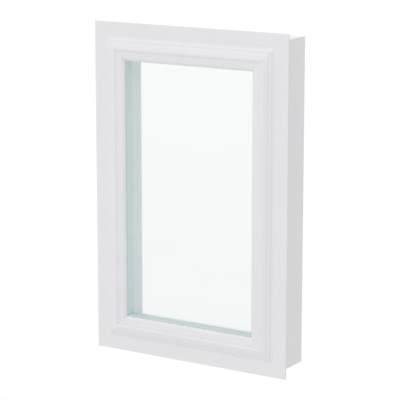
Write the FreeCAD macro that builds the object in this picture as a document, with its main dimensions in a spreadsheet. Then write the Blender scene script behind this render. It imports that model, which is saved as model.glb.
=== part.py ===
import FreeCAD, Part
import Sketcher
import os

# Fixed picture window: mitred white vinyl frame with an exterior flange,
# snap-in glazing beads and a sealed double-pane unit.
#
# Shared frame, millimetres: X to the right seen from outside, +Y into the
# building, +Z up. Y = 0 is the back face of the flange, where it lies on the
# wall. X = 0 is the middle of the window. Z = 0 is half-way up the part of the
# sill flange that overlaps the wall.
#
# Every bar shares one section plane: u runs inward from the flange's outer
# edge and w runs back from the most forward point of the moulding.

doc = FreeCAD.newDocument("fixed_picture_window")
sheet = doc.addObject("Spreadsheet::Sheet", "sizes")

SIZES = [
    # overall
    ("flange_width", 419.1), ("flange_height", 635.0), ("frame_depth", 82.55),
    ("flange_overlap", 12.7), ("flange_thick", 2.2), ("nose_rise", 10.35),
    # moulding on the outside face: u position and rise above the flange
    ("cove_start", 25.3), ("cove_end", 31.0), ("cove_rise", 1.45),
    ("riser_end", 34.3), ("riser_rise", 4.6),
    ("ledge_end", 37.3), ("ledge_rise", 4.85),
    ("step_end", 39.3), ("step_rise", 7.1),
    ("nose_start", 46.5), ("nose_start_rise", 9.8),
    ("nose_apex", 49.4), ("nose_end", 53), ("nose_end_rise", 8.7),
    ("pocket_floor", 54.2), ("bevel_rise", 8.6),
    # glazing pocket and the fixed leg behind the glass (depth behind the flange face)
    ("notch_front", 1.3), ("notch_back", 3.7), ("notch_deep", 1.0),
    ("leg_front", 23.5), ("leg_back", 27.0), ("leg_in", 69.0),
    ("reveal", 57.5), ("reveal_back", 72.0), ("back_face_in", 46.0),
    # hollow chambers
    ("wall", 2.2), ("web_front", 8.0), ("web_mid", 28.0), ("web_thick", 1.8),
    # sealed unit
    ("glass_front_rise", 3.5), ("pane_thick", 3.0), ("unit_thick", 25.4), ("unit_lift", 2.5),
    ("glass_edge", 58.8), ("spacer_out", 63.5), ("spacer_in", 71.0),
    # bead, gasket, tape, blocks
    ("bead_side_rise", 8.35), ("bead_top", 54.35), ("bead_top_rise", 8.6),
    ("bead_bevel", 66.4), ("bead_bevel_rise", 7.8), ("bead_lip", 70.5), ("bead_lip_rise", 4.6),
    ("bead_wall", 1.8), ("bead_leg_back", 5.2), ("barb_front", 1.5), ("barb_back", 3.5),
    ("barb_deep", 0.8), ("gasket_out", 66.0), ("gasket_in", 71.3), ("gasket_thick", 0.8),
    ("tape_out", 60.0), ("tape_in", 68.8),
    ("block_length", 76.0), ("block_spacing", 150.0), ("block_clear", 0.4),
    # small roundings
    ("tip_round", 0.6), ("leg_round", 1.2), ("reveal_round", 3.0), ("back_round", 2.5),
    ("side_round", 1.0), ("lip_round", 0.15),
]
for i, (alias, value) in enumerate(SIZES):
    cell = "B%d" % (i + 1)
    sheet.set("A%d" % (i + 1), alias.replace("_", " "))
    sheet.set(cell, str(value))
    sheet.setAlias(cell, alias)
doc.recompute()


class Q:
    """A size with its number and the expression that gives it."""

    def __init__(self, val, txt):
        self.val, self.txt = float(val), txt

    @staticmethod
    def of(x):
        return x if isinstance(x, Q) else Q(x, repr(float(x)))

    def __add__(self, o):
        o = Q.of(o)
        return Q(self.val + o.val, "(%s + %s)" % (self.txt, o.txt))

    def __sub__(self, o):
        o = Q.of(o)
        return Q(self.val - o.val, "(%s - %s)" % (self.txt, o.txt))

    def __mul__(self, o):
        o = Q.of(o)
        return Q(self.val * o.val, "(%s * %s)" % (self.txt, o.txt))

    def __truediv__(self, o):
        o = Q.of(o)
        return Q(self.val / o.val, "(%s / %s)" % (self.txt, o.txt))

    def __rsub__(self, o):
        return Q.of(o) - self

    def __neg__(self):
        return Q(-self.val, "(-1 * %s)" % self.txt)


S = {alias: Q(value, "sizes." + alias) for alias, value in SIZES}
N = S["nose_rise"]
ZERO = Q(0, "0")


def rise(q):
    """w of a point that stands q in front of the flange's outside face."""
    return N - q


def deep(q):
    """w of a point that lies q behind the flange's outside face."""
    return N + q


def plane(body, role):
    for f in body.Origin.OriginFeatures:
        if f.Role == role:
            return f


def pin(sk, geo, pos, x, y):
    """Dimension one sketch point from the origin, bound to the sheet."""
    for q, kind, axis in ((x, "DistanceX", -2), (y, "DistanceY", -1)):
        if abs(q.val) < 1e-9:
            sk.addConstraint(Sketcher.Constraint("PointOnObject", geo, pos, axis))
        elif q.val > 0:
            c = sk.addConstraint(Sketcher.Constraint(kind, -1, 1, geo, pos, q.val))
            sk.setExpression("Constraints[%d]" % c, q.txt)
        else:
            c = sk.addConstraint(Sketcher.Constraint(kind, geo, pos, -1, 1, -q.val))
            sk.setExpression("Constraints[%d]" % c, (-q).txt)


def draw(sk, points, arcs=None):
    """Closed outline through points; arcs maps a side's index to a signed radius."""
    arcs = arcs or {}
    n = len(points)
    ids = []
    for i in range(n):
        a, b = points[i], points[(i + 1) % n]
        pa = FreeCAD.Vector(a[0].val, a[1].val, 0)
        pb = FreeCAD.Vector(b[0].val, b[1].val, 0)
        if i in arcs:
            rad, turn = arcs[i]
            mid = (pa + pb) * 0.5
            d = pb - pa
            half = d.Length / 2
            nrm = FreeCAD.Vector(-d.y, d.x, 0).normalize() * turn
            sag = rad.val - (rad.val ** 2 - half ** 2) ** 0.5
            g = sk.addGeometry(Part.Arc(pa, mid + nrm * sag, pb), False)
        else:
            g = sk.addGeometry(Part.LineSegment(pa, pb), False)
        ids.append(g)
    ends = []
    for i in range(n):
        if i in arcs:
            p = sk.getPoint(ids[i], 1)
            first = (p - FreeCAD.Vector(points[i][0].val, points[i][1].val, 0)).Length < 1e-6
            ends.append((1, 2) if first else (2, 1))
        else:
            ends.append((1, 2))
    for i in range(n):
        j = (i + 1) % n
        sk.addConstraint(Sketcher.Constraint("Coincident", ids[i], ends[i][1], ids[j], ends[j][0]))
    for i in range(n):
        pin(sk, ids[i], ends[i][0], points[i][0], points[i][1])
    for i in arcs:
        c = sk.addConstraint(Sketcher.Constraint("Radius", ids[i], arcs[i][0].val))
        sk.setExpression("Constraints[%d]" % c, arcs[i][0].txt)
    return ids


def sketch(body, name, role):
    sk = body.newObject("Sketcher::SketchObject", name)
    sk.AttachmentSupport = [(plane(body, role), "")]
    sk.MapMode = "FlatFace"
    return sk


def symmetric(feature):
    if hasattr(feature, "SideType"):
        feature.SideType = "Symmetric"
    else:
        feature.Midplane = True


def long_edges(shape, spots):
    """Names of the lengthwise edges that pass through the given (w, u) spots."""
    names = []
    for w, u in spots:
        for k, e in enumerate(shape.Edges):
            v = e.Vertexes
            if len(v) == 2 and all(abs(p.Y - w.val) < 1e-3 and abs(p.Z - u.val) < 1e-3 for p in v):
                names.append("Edge%d" % (k + 1))
                break
    return names


def place(body, turn, x, y, z):
    body.Placement = FreeCAD.Placement(
        FreeCAD.Vector(x.val, y.val, z.val),
        FreeCAD.Rotation(FreeCAD.Vector(0, 1, 0), turn))
    for axis, q in (("x", x), ("y", y), ("z", z)):
        body.setExpression("Placement.Base." + axis, q.txt)


FRONT = -(N + S["flange_thick"])           # Y of w = 0
LOW = -(S["flange_overlap"] / 2)           # Z of the flange's lower edge
SIDES = {                                  # name: turn about Y, length, X, Z
    "sill": (0, S["flange_width"], ZERO, LOW),
    "head": (180, S["flange_width"], ZERO, LOW + S["flange_height"]),
    "left": (90, S["flange_height"], -(S["flange_width"] / 2), LOW + S["flange_height"] / 2),
    "right": (-90, S["flange_height"], S["flange_width"] / 2, LOW + S["flange_height"] / 2),
}
MITRE = Q(80, "80")


def bar(label, side, outline, arcs=None, holes=(), rounds=(), lift=ZERO):
    """One mitred length of a section, placed on its side of the window."""
    turn, length, x, z = SIDES[side]
    body = doc.addObject("PartDesign::Body", label)
    body.Label = label
    sk = sketch(body, label + "_section", "YZ_Plane")
    draw(sk, outline, arcs)
    for hole in holes:
        draw(sk, hole)
    pad = body.newObject("PartDesign::Pad", label + "_length")
    pad.Profile = sk
    symmetric(pad)
    pad.setExpression("Length", length.txt)
    doc.recompute()
    last = pad
    for k, (radius, spots) in enumerate(rounds):
        names = long_edges(last.Shape, spots)
        if len(names) != len(spots):
            raise RuntimeError("%s: found %d of %d edges to round" % (label, len(names), len(spots)))
        fil = body.newObject("PartDesign::Fillet", "%s_round_%d" % (label, k + 1))
        fil.Base = (last, names)
        fil.setExpression("Radius", radius.txt)
        doc.recompute()
        last = fil
    before = last.Shape.Volume
    half = length / 2
    cut = sketch(body, label + "_mitres", "XZ_Plane")
    for sgn in (-1, 1):
        inner, outer = (half - MITRE), (half + 5)
        tri = [(outer, Q(-5, "-5")), (inner, MITRE), (outer, MITRE)]
        if sgn < 0:
            tri = [(-a, b) for a, b in tri]
        draw(cut, tri)
    pocket = body.newObject("PartDesign::Pocket", label + "_mitre_cut")
    pocket.Profile = cut
    pocket.Type = "ThroughAll"
    symmetric(pocket)
    body.Tip = pocket
    place(body, turn, x, FRONT, z + lift)
    doc.recompute()
    if not pocket.Shape.Volume < before - 1:
        raise RuntimeError(label + ": the mitre cut removed nothing")
    return body


def slab(label, u, w0, thick):
    """A flat pane: its edge lies at u on all four sides."""
    body = doc.addObject("PartDesign::Body", label)
    body.Label = label
    sk = sketch(body, label + "_outline", "XZ_Plane")
    a = S["flange_width"] / 2 - u
    b = S["flange_height"] / 2 - u
    draw(sk, [(-a, -b), (a, -b), (a, b), (-a, b)])
    pad = body.newObject("PartDesign::Pad", label + "_thickness")
    pad.Profile = sk
    pad.setExpression("Length", thick.txt)
    body.Tip = pad
    doc.recompute()
    low = pad.Shape.BoundBox.YMin
    shift = ZERO if abs(low) < 1e-6 else thick
    place(body, 0, ZERO, FRONT + w0 + shift, LOW + S["flange_height"] / 2 + S["unit_lift"])
    doc.recompute()
    return body


# ---------------------------------------------------------------- frame
def level_radius(run, drop):
    """Radius of an arc that is level at one end and falls by drop over run."""
    return (run * run + drop * drop) / (drop * 2)


cove_radius = level_radius(S["cove_end"] - S["cove_start"], S["cove_rise"])
# the rounded nose: one arc on each side of its apex, both level there
outer_radius = level_radius(S["nose_apex"] - S["nose_start"], N - S["nose_start_rise"])
inner_radius = level_radius(S["nose_end"] - S["nose_apex"], N - S["nose_end_rise"])

frame_outline = [
    (deep(ZERO), ZERO),                                            # flange edge, outside
    (deep(ZERO), S["cove_start"]),
    (rise(S["cove_rise"]), S["cove_end"]),
    (rise(S["riser_rise"]), S["riser_end"]),
    (rise(S["ledge_rise"]), S["ledge_end"]),
    (rise(S["step_rise"]), S["step_end"]),
    (rise(S["nose_start_rise"]), S["nose_start"]),
    (ZERO, S["nose_apex"]),
    (rise(S["nose_end_rise"]), S["nose_end"]),
    (rise(S["bevel_rise"]), S["pocket_floor"]),
    (deep(S["notch_front"]), S["pocket_floor"]),                   # snap notch
    (deep(S["notch_front"]), S["pocket_floor"] - S["notch_deep"]),
    (deep(S["notch_back"]), S["pocket_floor"] - S["notch_deep"]),
    (deep(S["notch_back"]), S["pocket_floor"]),
    (deep(S["leg_front"]), S["pocket_floor"]),                     # fixed leg
    (deep(S["leg_front"]), S["leg_in"]),
    (deep(S["leg_back"]), S["leg_in"]),
    (deep(S["leg_back"]), S["reveal"]),                            # inside reveal
    (deep(S["reveal_back"]), S["reveal"]),
    (deep(S["frame_depth"]), S["back_face_in"]),
    (deep(S["frame_depth"]), S["flange_overlap"]),
    (deep(S["flange_thick"]), S["flange_overlap"]),
    (deep(S["flange_thick"]), ZERO),
]
frame_arcs = {1: (cove_radius, -1), 6: (outer_radius, 1), 7: (inner_radius, 1)}

cw = S["wall"]
lo = S["flange_overlap"] + cw
reach = S["pocket_floor"] - cw - 0.2 - S["nose_apex"]      # the chamber's inner side, from the apex
front_chamber = [
    (deep(cw), lo),
    (deep(cw), S["cove_start"] + 0.3),
    (rise(S["cove_rise"]) + cw * 1.15, S["cove_end"] + 0.5),
    (rise(S["riser_rise"]) + cw, S["riser_end"] + cw * 0.75),
    (rise(S["ledge_rise"]) + cw, S["ledge_end"] + cw * 0.5),
    (rise(S["step_rise"]) + cw * 0.9, S["step_end"] + cw * 0.6),
    (rise(S["nose_start_rise"]) + cw * 1.08, S["nose_start"]),
    (cw * 1.05, S["nose_apex"]),
    (cw * 1.15, S["nose_apex"] + reach / 2),
    (cw * 2.1, S["nose_apex"] + reach),
    (deep(S["web_front"]), S["nose_apex"] + reach),
    (deep(S["web_front"]), lo),
]
middle_chamber = [
    (deep(S["web_front"] + S["web_thick"]), lo),
    (deep(S["web_front"] + S["web_thick"]), S["pocket_floor"] - cw),
    (deep(S["web_mid"]), S["pocket_floor"] - cw),
    (deep(S["web_mid"]), lo),
]
back_chamber = [
    (deep(S["web_mid"] + S["web_thick"]), lo),
    (deep(S["web_mid"] + S["web_thick"]), S["reveal"] - cw),
    (deep(S["reveal_back"]) - cw * 0.4, S["reveal"] - cw),
    (deep(S["frame_depth"]) - cw, S["back_face_in"] - cw * 0.4),
    (deep(S["frame_depth"]) - cw, lo),
]
frame_rounds = [
    (S["tip_round"], [(deep(ZERO), ZERO)]),
    (S["leg_round"], [(deep(S["leg_front"]), S["leg_in"]), (deep(S["leg_back"]), S["leg_in"])]),
    (S["reveal_round"], [(deep(S["reveal_back"]), S["reveal"])]),
    (S["back_round"], [(deep(S["frame_depth"]), S["back_face_in"])]),
    (S["side_round"], [(deep(S["frame_depth"]), S["flange_overlap"])]),
]
FRAME_NAMES = {"sill": "frame_sill", "head": "frame_head",
               "left": "frame_jamb_left", "right": "frame_jamb_right"}
bodies = []
for side in ("head", "sill", "left", "right"):
    bodies.append(bar(FRAME_NAMES[side], side, frame_outline, frame_arcs,
                      (front_chamber, middle_chamber, back_chamber), frame_rounds))

# ---------------------------------------------------------------- beads
glass_w = rise(S["glass_front_rise"])
gasket_w = glass_w - S["gasket_thick"]
bw = S["bead_wall"]
bead_outline = [
    (rise(S["bead_side_rise"]), S["pocket_floor"]),
    (rise(S["bead_top_rise"]), S["bead_top"]),
    (rise(S["bead_bevel_rise"]), S["bead_bevel"]),
    (rise(S["bead_lip_rise"]), S["bead_lip"]),
    (gasket_w, S["bead_lip"]),
    (gasket_w, S["gasket_out"]),
    (rise(S["bead_top_rise"]) + bw * 1.2, S["pocket_floor"] + bw * 2),
    (rise(S["bead_top_rise"]) + bw * 1.6, S["pocket_floor"] + bw),
    (deep(S["bead_leg_back"]), S["pocket_floor"] + bw),
    (deep(S["bead_leg_back"]), S["pocket_floor"]),
    (deep(S["barb_back"]), S["pocket_floor"]),
    (deep(S["barb_front"]), S["pocket_floor"] - S["barb_deep"]),
    (deep(S["barb_front"]), S["pocket_floor"]),
]
bead_rounds = [
    (S["lip_round"], [(rise(S["bead_lip_rise"]), S["bead_lip"])]),
]
for side in ("head", "sill", "left", "right"):
    bodies.append(bar("glazing_bead_" + side, side, bead_outline, None, (), bead_rounds))

# a soft lip on the back of each bead presses on the glass
gasket_outline = [
    (gasket_w, S["gasket_out"]), (gasket_w, S["gasket_in"]),
    (glass_w, S["gasket_in"]), (glass_w, S["gasket_out"]),
]
for side in ("head", "sill", "left", "right"):
    bodies.append(bar("bead_gasket_" + side, side, gasket_outline))

# ---------------------------------------------------------------- sealed unit
# the setting blocks hold it a little higher than the middle of its pocket
unit_back = glass_w + S["unit_thick"]
bodies.append(slab("outer_glass_pane", S["glass_edge"], glass_w, S["pane_thick"]))
bodies.append(slab("inner_glass_pane", S["glass_edge"], unit_back - S["pane_thick"], S["pane_thick"]))

gap_front = glass_w + S["pane_thick"]
gap_back = unit_back - S["pane_thick"]
spacer_outline = [(gap_front, S["spacer_out"]), (gap_front, S["spacer_in"]),
                  (gap_back, S["spacer_in"]), (gap_back, S["spacer_out"])]
sealant_outline = [(gap_front, S["glass_edge"]), (gap_front, S["spacer_out"]),
                   (gap_back, S["spacer_out"]), (gap_back, S["glass_edge"])]
for side in ("head", "sill", "left", "right"):
    bodies.append(bar("spacer_bar_" + side, side, spacer_outline, lift=S["unit_lift"]))
for side in ("head", "sill", "left", "right"):
    bodies.append(bar("edge_sealant_" + side, side, sealant_outline, lift=S["unit_lift"]))

# glazing tape beds the unit on the fixed leg
tape_outline = [(unit_back, S["tape_out"]), (unit_back, S["tape_in"]),
                (deep(S["leg_front"]), S["tape_in"]), (deep(S["leg_front"]), S["tape_out"])]
for side in ("head", "sill", "left", "right"):
    bodies.append(bar("glazing_tape_" + side, side, tape_outline))

# two setting blocks carry the unit on the sill and step over the bead's leg
block_step = deep(S["bead_leg_back"]) + S["block_clear"]
block_outline = [
    (block_step, S["pocket_floor"]),
    (block_step, S["pocket_floor"] + bw + S["block_clear"]),
    (glass_w, S["pocket_floor"] + bw + S["block_clear"]),
    (glass_w, S["glass_edge"] + S["unit_lift"]),
    (unit_back, S["glass_edge"] + S["unit_lift"]),
    (unit_back, S["pocket_floor"]),
]
for name, sgn in (("left", -1), ("right", 1)):
    label = "setting_block_" + name
    body = doc.addObject("PartDesign::Body", label)
    body.Label = label
    sk = sketch(body, label + "_section", "YZ_Plane")
    draw(sk, block_outline)
    pad = body.newObject("PartDesign::Pad", label + "_length")
    pad.Profile = sk
    symmetric(pad)
    pad.setExpression("Length", S["block_length"].txt)
    body.Tip = pad
    place(body, 0, S["block_spacing"] / 2 * sgn, FRONT, LOW)
    doc.recompute()
    bodies.append(body)

# ---------------------------------------------------------------- write
doc.recompute()
for obj in doc.Objects:
    if "Invalid" in obj.State or "Error" in obj.State:
        raise RuntimeError("%s is %s" % (obj.Label, obj.State))
os.makedirs("parts", exist_ok=True)
for body in bodies:
    shape = body.Shape
    if shape.isNull() or not shape.isValid() or len(shape.Solids) != 1:
        raise RuntimeError(body.Label + " has no single valid solid")
    shape.exportStep("parts/%s.step" % body.Label)
    b = shape.BoundBox
    print("%-20s %8.1f cm3  x %.2f..%.2f  y %.2f..%.2f  z %.2f..%.2f" % (
        body.Label, shape.Volume / 1000, b.XMin, b.XMax, b.YMin, b.YMax, b.ZMin, b.ZMax))
print(len(bodies), "pieces")
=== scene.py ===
import math

import bmesh
import bpy
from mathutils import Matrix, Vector


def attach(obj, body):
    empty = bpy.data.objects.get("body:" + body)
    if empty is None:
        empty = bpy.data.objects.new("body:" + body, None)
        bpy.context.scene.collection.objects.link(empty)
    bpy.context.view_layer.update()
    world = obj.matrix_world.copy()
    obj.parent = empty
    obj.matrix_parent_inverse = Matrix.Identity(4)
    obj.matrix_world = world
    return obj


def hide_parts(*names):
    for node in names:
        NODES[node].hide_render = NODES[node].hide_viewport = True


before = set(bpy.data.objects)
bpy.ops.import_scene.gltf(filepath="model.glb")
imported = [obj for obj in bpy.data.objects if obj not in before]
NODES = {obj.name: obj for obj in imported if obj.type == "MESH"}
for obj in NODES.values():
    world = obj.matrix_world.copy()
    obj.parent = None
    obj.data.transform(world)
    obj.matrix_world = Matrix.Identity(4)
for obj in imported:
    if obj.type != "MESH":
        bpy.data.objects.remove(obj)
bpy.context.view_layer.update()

scene = bpy.context.scene
MM = 0.001


# ------------------------------------------------------------------ materials
def new_material(name):
    mat = bpy.data.materials.new(name)
    mat.use_nodes = True
    nt = mat.node_tree
    nt.nodes.clear()
    out = nt.nodes.new("ShaderNodeOutputMaterial")
    bsdf = nt.nodes.new("ShaderNodeBsdfPrincipled")
    nt.links.new(bsdf.outputs["BSDF"], out.inputs["Surface"])
    return mat, nt, bsdf


def noise(nt, coord, scale, detail=3.0, rough=0.55, stretch=None):
    if stretch is not None:
        m = nt.nodes.new("ShaderNodeMapping")
        m.inputs["Scale"].default_value = stretch
        nt.links.new(coord, m.inputs["Vector"])
        coord = m.outputs["Vector"]
    n = nt.nodes.new("ShaderNodeTexNoise")
    n.inputs["Scale"].default_value = scale
    n.inputs["Detail"].default_value = detail
    n.inputs["Roughness"].default_value = rough
    nt.links.new(coord, n.inputs["Vector"])
    return n.outputs["Fac"]


def ramp(nt, fac, stops):
    r = nt.nodes.new("ShaderNodeValToRGB")
    el = r.color_ramp.elements
    while len(el) < len(stops):
        el.new(0.5)
    for e, (p, c) in zip(el, stops):
        e.position = p
        e.color = (c[0], c[1], c[2], 1.0)
    nt.links.new(fac, r.inputs["Fac"])
    return r.outputs["Color"]


def span(nt, fac, lo, hi, a=0.3, b=0.7):
    m = nt.nodes.new("ShaderNodeMapRange")
    m.inputs["From Min"].default_value = a
    m.inputs["From Max"].default_value = b
    m.inputs["To Min"].default_value = lo
    m.inputs["To Max"].default_value = hi
    nt.links.new(fac, m.inputs["Value"])
    return m.outputs["Result"]


def bump(nt, bsdf, height, strength, distance):
    b = nt.nodes.new("ShaderNodeBump")
    b.inputs["Strength"].default_value = strength
    b.inputs["Distance"].default_value = distance
    nt.links.new(height, b.inputs["Height"])
    nt.links.new(b.outputs["Normal"], bsdf.inputs["Normal"])


def object_coord(nt):
    return nt.nodes.new("ShaderNodeTexCoord").outputs["Object"]


def vinyl(name, lengthwise):
    """White extruded vinyl. lengthwise is the stretch that draws the die lines along the bar."""
    mat, nt, bsdf = new_material(name)
    co = object_coord(nt)
    tone = noise(nt, co, 9.0, 3.0)
    nt.links.new(ramp(nt, tone, [(0.3, (0.738, 0.737, 0.752)), (0.7, (0.750, 0.749, 0.763))]), bsdf.inputs["Base Color"])
    fine = noise(nt, co, 60.0, 4.0)
    nt.links.new(span(nt, fine, 0.36, 0.46), bsdf.inputs["Roughness"])
    lines = noise(nt, co, 420.0, 2.0, 0.5, lengthwise)
    bump(nt, bsdf, lines, 0.10, 0.0001)
    return mat


VINYL_X = vinyl("vinyl_along_x", (0.01, 1.0, 1.0))
VINYL_Z = vinyl("vinyl_along_z", (1.0, 1.0, 0.01))


def glass():
    mat, nt, bsdf = new_material("float_glass")
    bsdf.inputs["Base Color"].default_value = (0.952, 0.966, 0.964, 1.0)
    bsdf.inputs["Transmission Weight"].default_value = 1.0
    bsdf.inputs["IOR"].default_value = 1.56
    bsdf.inputs["Specular IOR Level"].default_value = 1.0
    bsdf.inputs["Specular Tint"].default_value = (0.16, 1.0, 1.0, 1.0)
    bsdf.inputs["Roughness"].default_value = 0.0
    return mat


def spacer():
    mat, nt, bsdf = new_material("spacer_bar_finish")
    co = object_coord(nt)
    tone = noise(nt, co, 40.0, 3.0)
    nt.links.new(ramp(nt, tone, [(0.3, (0.570, 0.638, 0.638)), (0.7, (0.600, 0.668, 0.668))]), bsdf.inputs["Base Color"])
    nt.links.new(span(nt, noise(nt, co, 300.0), 0.36, 0.48), bsdf.inputs["Roughness"])
    return mat


def soft(name, low, high, rough):
    mat, nt, bsdf = new_material(name)
    co = object_coord(nt)
    nt.links.new(ramp(nt, noise(nt, co, 120.0), [(0.3, low), (0.7, high)]), bsdf.inputs["Base Color"])
    nt.links.new(span(nt, noise(nt, co, 500.0), rough - 0.08, rough + 0.08), bsdf.inputs["Roughness"])
    bump(nt, bsdf, noise(nt, co, 900.0), 0.2, 0.0002)
    return mat


GLASS = glass()
SPACER = spacer()
GASKET = soft("gasket_pale", (0.66, 0.70, 0.70), (0.71, 0.75, 0.75), 0.6)
BUTYL = soft("butyl_seal", (0.70, 0.80, 0.80), (0.74, 0.84, 0.84), 0.6)
SEALANT = soft("edge_sealant", (0.16, 0.17, 0.17), (0.20, 0.21, 0.21), 0.55)
TAPE = soft("foam_tape", (0.74, 0.76, 0.76), (0.80, 0.82, 0.82), 0.8)
BLOCK = soft("setting_rubber", (0.02, 0.02, 0.02), (0.035, 0.035, 0.035), 0.7)

# ------------------------------------------------------------------ section
# One section plane for every bar, in millimetres: u runs inward from the
# flange's outer edge, rise stands out in front of the flange's outside face.
WIDTH, HEIGHT = 419.1, 635.0
OVERLAP, FLANGE, NOSE = 12.7, 2.2, 10.35
LOW = -OVERLAP / 2
LIFT = 2.5   # the glass unit's height above the middle of its pocket


def arc(a, b, centre, steps):
    """Points on a circle from a to b, the short way, both ends included."""
    r = math.hypot(a[0] - centre[0], a[1] - centre[1])
    t0 = math.atan2(a[1] - centre[1], a[0] - centre[0])
    t1 = math.atan2(b[1] - centre[1], b[0] - centre[0])
    while t1 - t0 > math.pi:
        t1 -= 2 * math.pi
    while t1 - t0 < -math.pi:
        t1 += 2 * math.pi
    return [(centre[0] + r * math.cos(t0 + (t1 - t0) * k / steps),
             centre[1] + r * math.sin(t0 + (t1 - t0) * k / steps)) for k in range(steps + 1)]


def rounded(corners):
    """Outline with its corners rounded. A corner is (u, rise) or (u, rise, radius)."""
    out = []
    n = len(corners)
    for i, c in enumerate(corners):
        p = Vector(c[:2])
        r = c[2] if len(c) > 2 else 0.0
        a = Vector(corners[i - 1][:2]) - p
        b = Vector(corners[(i + 1) % n][:2]) - p
        turn = math.pi - a.angle(b)
        if r <= 0 or turn < 0.02:
            out.append((p.x, p.y))
            continue
        reach = min(r * math.tan(turn / 2), a.length * 0.48, b.length * 0.48)
        r = reach / math.tan(turn / 2)
        s, e = p + a.normalized() * reach, p + b.normalized() * reach
        mid = (a.normalized() + b.normalized()).normalized()
        centre = p + mid * (r / math.cos(turn / 2))
        steps = max(2, min(10, round(turn / math.radians(14))))
        out += arc((s.x, s.y), (e.x, e.y), (centre.x, centre.y), steps)
    return out


def inset(points, d):
    """The outline moved inward by d all round."""
    n = len(points)
    area = sum(points[i - 1][0] * points[i][1] - points[i][0] * points[i - 1][1] for i in range(n))
    sign = 1.0 if area > 0 else -1.0
    out = []
    for i in range(n):
        p, q, r = Vector(points[i - 1]), Vector(points[i]), Vector(points[(i + 1) % n])
        a, b = (q - p).normalized(), (r - q).normalized()
        na, nb = Vector((-a.y, a.x)) * sign, Vector((-b.y, b.x)) * sign
        m = na + nb
        m = m.normalized() if m.length > 1e-6 else na
        out.append((q.x + m.x * d, q.y + m.y * d))
    return out


SIDES = ("head", "sill", "left", "right")


def point(side, u, rise, s):
    """Row-frame metres of a section point, s millimetres along the bar from its middle."""
    y = -FLANGE - rise
    if side == "sill":
        xyz = (s, y, LOW + u)
    elif side == "head":
        xyz = (s, y, LOW + HEIGHT - u)
    elif side == "left":
        xyz = (-WIDTH / 2 + u, y, LOW + HEIGHT / 2 + s)
    else:
        xyz = (WIDTH / 2 - u, y, LOW + HEIGHT / 2 + s)
    return tuple(v * MM for v in xyz)


def sweep(name, side, outline, gap, lip, depth, material, lift=0.0, smooth=32.0):
    """One mitred bar. gap is the clearance at the mitre, and the last lip
    millimetres before it fall away by depth, which draws the joint's hairline."""
    length = WIDTH if side in ("head", "sill") else HEIGHT
    tight = inset(outline, depth)
    rings = []
    for sign, steps in ((-1, ((gap, tight), (gap + lip * 0.35, inset(outline, depth * 0.3)), (gap + lip, outline))),
                        (1, ((gap + lip, outline), (gap + lip * 0.35, inset(outline, depth * 0.3)), (gap, tight)))):
        for back, shape in steps:
            rings.append([point(side, u, r, sign * (length / 2 - base[0] - back))
                          for (u, r), base in zip(shape, outline)])
    bm = bmesh.new()
    rows = [[bm.verts.new((x, y, z + lift * MM)) for x, y, z in ring] for ring in rings]
    n = len(outline)
    for a, b in zip(rows, rows[1:]):
        for i in range(n):
            j = (i + 1) % n
            bm.faces.new((a[i], a[j], b[j], b[i]))
    bm.faces.new(rows[0])
    bm.faces.new(list(reversed(rows[-1])))
    bmesh.ops.recalc_face_normals(bm, faces=bm.faces)
    for f in bm.faces:
        f.smooth = True
    for e in bm.edges:
        if len(e.link_faces) == 2 and e.calc_face_angle(0.0) > math.radians(smooth):
            e.smooth = False
    me = bpy.data.meshes.new(name)
    bm.to_mesh(me)
    bm.free()
    ob = bpy.data.objects.new(name, me)
    scene.collection.objects.link(ob)
    me.materials.append(material)
    return ob


def stand_in(ob, node):
    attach(ob, "root")
    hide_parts(node)


# moulded face of the frame: flange, cove, small riser, ledge, step, rounded nose, drop to the bead
COVE_A, COVE_B = (25.3, 0.0), (31.0, 1.45)
RISER, LEDGE, SOFT = (34.3, 4.6), (37.3, 4.85), 0.7
STEP = (39.3, 7.1, 1.2)
NOSE_A, APEX, END = (46.5, 9.8), (49.4, NOSE), (53.0, 8.7)
FLOOR_U, BEVEL = 54.2, 8.6
cove_r = ((COVE_B[0] - COVE_A[0]) ** 2 + COVE_B[1] ** 2) / (2 * COVE_B[1])


def level_arc(a, apex, steps):
    """Points from a up to the apex, on the circle that is level at the apex."""
    run, drop = apex[0] - a[0], apex[1] - a[1]
    r = (run * run + drop * drop) / (2 * drop)
    return arc(a, apex, (apex[0], apex[1] - r), steps)


FRAME = rounded(
    [(0.0, 0.0, 0.6)]
    + arc(COVE_A, COVE_B, (COVE_A[0], cove_r), 8)[:-1]
    + [(COVE_B[0], COVE_B[1], SOFT), (RISER[0], RISER[1], SOFT), (LEDGE[0], LEDGE[1], SOFT), STEP]
    + level_arc(NOSE_A, APEX, 8)[:-1]
    + list(reversed(level_arc(END, APEX, 14)))
    + [(FLOOR_U, BEVEL),
       (FLOOR_U, -1.3), (FLOOR_U - 1.0, -1.3), (FLOOR_U - 1.0, -3.7), (FLOOR_U, -3.7),
       (FLOOR_U, -23.5, 0.4), (69.0, -23.5, 1.2), (69.0, -27.0, 1.2), (57.5, -27.0, 0.5),
       (57.5, -72.0, 2.5), (46.0, -82.55, 2.5), (OVERLAP, -82.55, 1.0),
       (OVERLAP, -FLANGE, 0.4), (0.0, -FLANGE, 0.4)])
FRAME_NODES = {"head": "frame_head", "sill": "frame_sill", "left": "frame_jamb_left", "right": "frame_jamb_right"}

TOP = 8.6   # the bead's highest line, beside the frame
BEAD = rounded([
    (FLOOR_U + 0.05, TOP - 0.25), (FLOOR_U + 0.15, TOP), (66.4, 7.8, 1.5), (70.3, 4.6, 0.3), (70.5, 4.3, 0.1),
    (66.0, 4.3), (FLOOR_U + 3.6, TOP - 3.0), (FLOOR_U + 1.8, TOP - 3.7), (FLOOR_U + 1.8, -5.2), (FLOOR_U + 0.05, -5.2)])

GASKET_SHAPE = rounded([(66.0, 4.28), (71.0, 4.28, 0.4), (71.3, 3.52, 0.2), (66.0, 3.52)])

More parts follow.
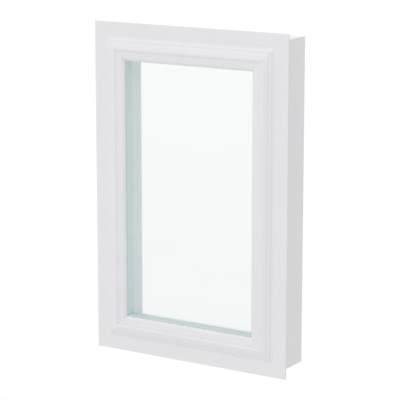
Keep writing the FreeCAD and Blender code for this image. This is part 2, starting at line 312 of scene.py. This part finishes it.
AIR_FRONT, AIR_BACK = 0.5, -18.9
SPACER_SHAPE = rounded([
    (63.5, AIR_FRONT - 0.05), (70.6, AIR_FRONT - 0.05, 0.15), (71.0, AIR_FRONT - 0.45, 0.25),
    (71.0, AIR_BACK + 0.45, 0.25), (70.6, AIR_BACK + 0.05, 0.15), (63.5, AIR_BACK + 0.05)])

TAPE_SHAPE = rounded([(60.0, -21.93), (68.8, -21.93, 0.2), (68.8, -23.47, 0.2), (60.0, -23.47)])

for side in SIDES:
    grain = VINYL_X if side in ("head", "sill") else VINYL_Z
    stand_in(sweep("frame_" + side + "_shell", side, FRAME, 0.01, 0.5, 0.10, grain), FRAME_NODES[side])
    stand_in(sweep("bead_" + side, side, BEAD, 0.05, 0.4, 0.12, grain), "glazing_bead_" + side)
    stand_in(sweep("gasket_lip_" + side, side, GASKET_SHAPE, 0.02, 0.2, 0.02, GASKET), "bead_gasket_" + side)
    bar = sweep("spacer_" + side, side, SPACER_SHAPE, 0.05, 0.3, 0.08, SPACER, LIFT)
    bar.data.materials.append(BUTYL)
    for f in bar.data.polygons:
        if abs(f.normal.y) > 0.8:      # the pale seal between the bar and each pane
            f.material_index = 1
    stand_in(bar, "spacer_bar_" + side)
    stand_in(sweep("tape_" + side, side, TAPE_SHAPE, 0.02, 0.2, 0.02, TAPE), "glazing_tape_" + side)

for name, obj in NODES.items():
    if name.startswith(("frame", "glazing_bead")):
        mat = VINYL_Z if ("jamb" in name or name.endswith(("left", "right"))) else VINYL_X
    elif "glass" in name:
        mat = GLASS
    elif name.startswith("spacer"):
        mat = SPACER
    elif name.startswith("bead_gasket"):
        mat = GASKET
    elif name.startswith("edge_sealant"):
        mat = SEALANT
    elif name.startswith("glazing_tape"):
        mat = TAPE
    else:
        mat = BLOCK
    obj.data.materials.clear()
    obj.data.materials.append(mat)


# ------------------------------------------------------------------ stage
def plane_mesh(name, size, z):
    me = bpy.data.meshes.new(name)
    s = size / 2
    me.from_pydata([(-s, -s, z), (s, -s, z), (s, s, z), (-s, s, z)], [], [(0, 1, 2, 3)])
    ob = bpy.data.objects.new(name, me)
    scene.collection.objects.link(ob)
    return ob


floor = plane_mesh("studio_floor", 160.0, -2.2)
fm, fnt, fb = new_material("pale_floor")
fco = object_coord(fnt)
fnt.links.new(ramp(fnt, noise(fnt, fco, 1.5), [(0.3, (0.20, 0.20, 0.20)), (0.7, (0.21, 0.21, 0.21))]), fb.inputs["Base Color"])
fb.inputs["Roughness"].default_value = 0.9
fb.inputs["Specular IOR Level"].default_value = 0.0
fb.inputs["Emission Color"].default_value = (1.0, 1.0, 1.0, 1.0)
fpath = fnt.nodes.new("ShaderNodeLightPath")
fmix = fnt.nodes.new("ShaderNodeMix")
fdist = fnt.nodes.new("ShaderNodeVectorMath")      # a little brighter in the distance
fdist.operation = "LENGTH"
fnt.links.new(fco, fdist.inputs[0])
fnt.links.new(span(fnt, fdist.outputs["Value"], 0.752, 0.788, 8.0, 23.0), fmix.inputs[2])
fmix.inputs[3].default_value = 0.62
fnt.links.new(fpath.outputs["Is Diffuse Ray"], fmix.inputs[0])
fnt.links.new(fmix.outputs[0], fb.inputs["Emission Strength"])
floor.data.materials.append(fm)

# a soft white dome: brighter overhead, a little dimmer on the right
world = bpy.data.worlds.new("studio")
scene.world = world
world.use_nodes = True
wnt = world.node_tree
bg = wnt.nodes["Background"]
wco = wnt.nodes.new("ShaderNodeTexCoord")
parts = wnt.nodes.new("ShaderNodeSeparateXYZ")
wnt.links.new(wco.outputs["Generated"], parts.inputs[0])


def world_ramp(value, stops):
    m = wnt.nodes.new("ShaderNodeMapRange")
    m.inputs["From Min"].default_value = -1.0
    m.inputs["From Max"].default_value = 1.0
    wnt.links.new(value, m.inputs["Value"])
    r = wnt.nodes.new("ShaderNodeValToRGB")
    el = r.color_ramp.elements
    while len(el) < len(stops):
        el.new(0.5)
    for e, (p, v) in zip(el, stops):
        e.position = (p + 1) / 2
        e.color = (v, v, v, 1.0)
    wnt.links.new(m.outputs["Result"], r.inputs["Fac"])
    return r.outputs["Color"]


def world_math(op, a, b):
    m = wnt.nodes.new("ShaderNodeMath")
    m.operation = op
    for k, v in enumerate((a, b)):
        if isinstance(v, float):
            m.inputs[k].default_value = v
        else:
            wnt.links.new(v, m.inputs[k])
    return m.outputs[0]


across = world_ramp(parts.outputs["X"], [(-1.0, 0.50), (-0.3, 1.0), (0.1, 1.0), (0.55, 0.560), (1.0, 0.330)])
upward = world_ramp(parts.outputs["Z"], [(0.0, 0.895), (1.0, 1.0)])
behind = world_ramp(parts.outputs["Y"], [(0.0, 0.745), (1.0, 1.000)])
shape = world_math("MULTIPLY", world_math("MULTIPLY", world_math("MULTIPLY", across, upward), behind), 1.976)
path = wnt.nodes.new("ShaderNodeLightPath")
pick = wnt.nodes.new("ShaderNodeMix")
pick.inputs[2].default_value = 1.036
wnt.links.new(path.outputs["Is Diffuse Ray"], pick.inputs[0])
wnt.links.new(shape, pick.inputs[3])
bg.inputs["Color"].default_value = (1.0, 1.0, 1.0, 1.0)
wnt.links.new(pick.outputs[0], bg.inputs["Strength"])

# one large soft lamp above and in front
lamp_data = bpy.data.lights.new("soft_lamp", "AREA")
lamp_data.shape = "SQUARE"
lamp_data.size = 1.5
lamp_data.energy = 2.20
lamp = bpy.data.objects.new("soft_lamp", lamp_data)
scene.collection.objects.link(lamp)
lamp.location = (0.5, -1.5, 1.6)
lamp.rotation_euler = (Vector((0.0, 0.0, 0.31)) - lamp.location).to_track_quat("-Z", "Y").to_euler()

cam_data = bpy.data.cameras.new("photo_camera")
cam = bpy.data.objects.new("photo_camera", cam_data)
scene.collection.objects.link(cam)
cam_data.sensor_width = 36.0
cam_data.lens = 162.64
cam_data.clip_end = 400.0
cam.location = (1.7703, -2.7662, 0.99595)
cam.rotation_euler = (math.radians(90 - 11.855), 0.0, math.radians(32.279))
scene.camera = cam

# light has to cross both panes on its way in and again on its way out
scene.cycles.max_bounces = 32
scene.cycles.transmission_bounces = 24
scene.cycles.glossy_bounces = 16
scene.cycles.diffuse_bounces = 8
scene.cycles.blur_glossy = 0.0

scene.view_settings.view_transform = "Standard"
scene.view_settings.look = "None"
scene.view_settings.exposure = 0.0
scene.view_settings.gamma = 1.0
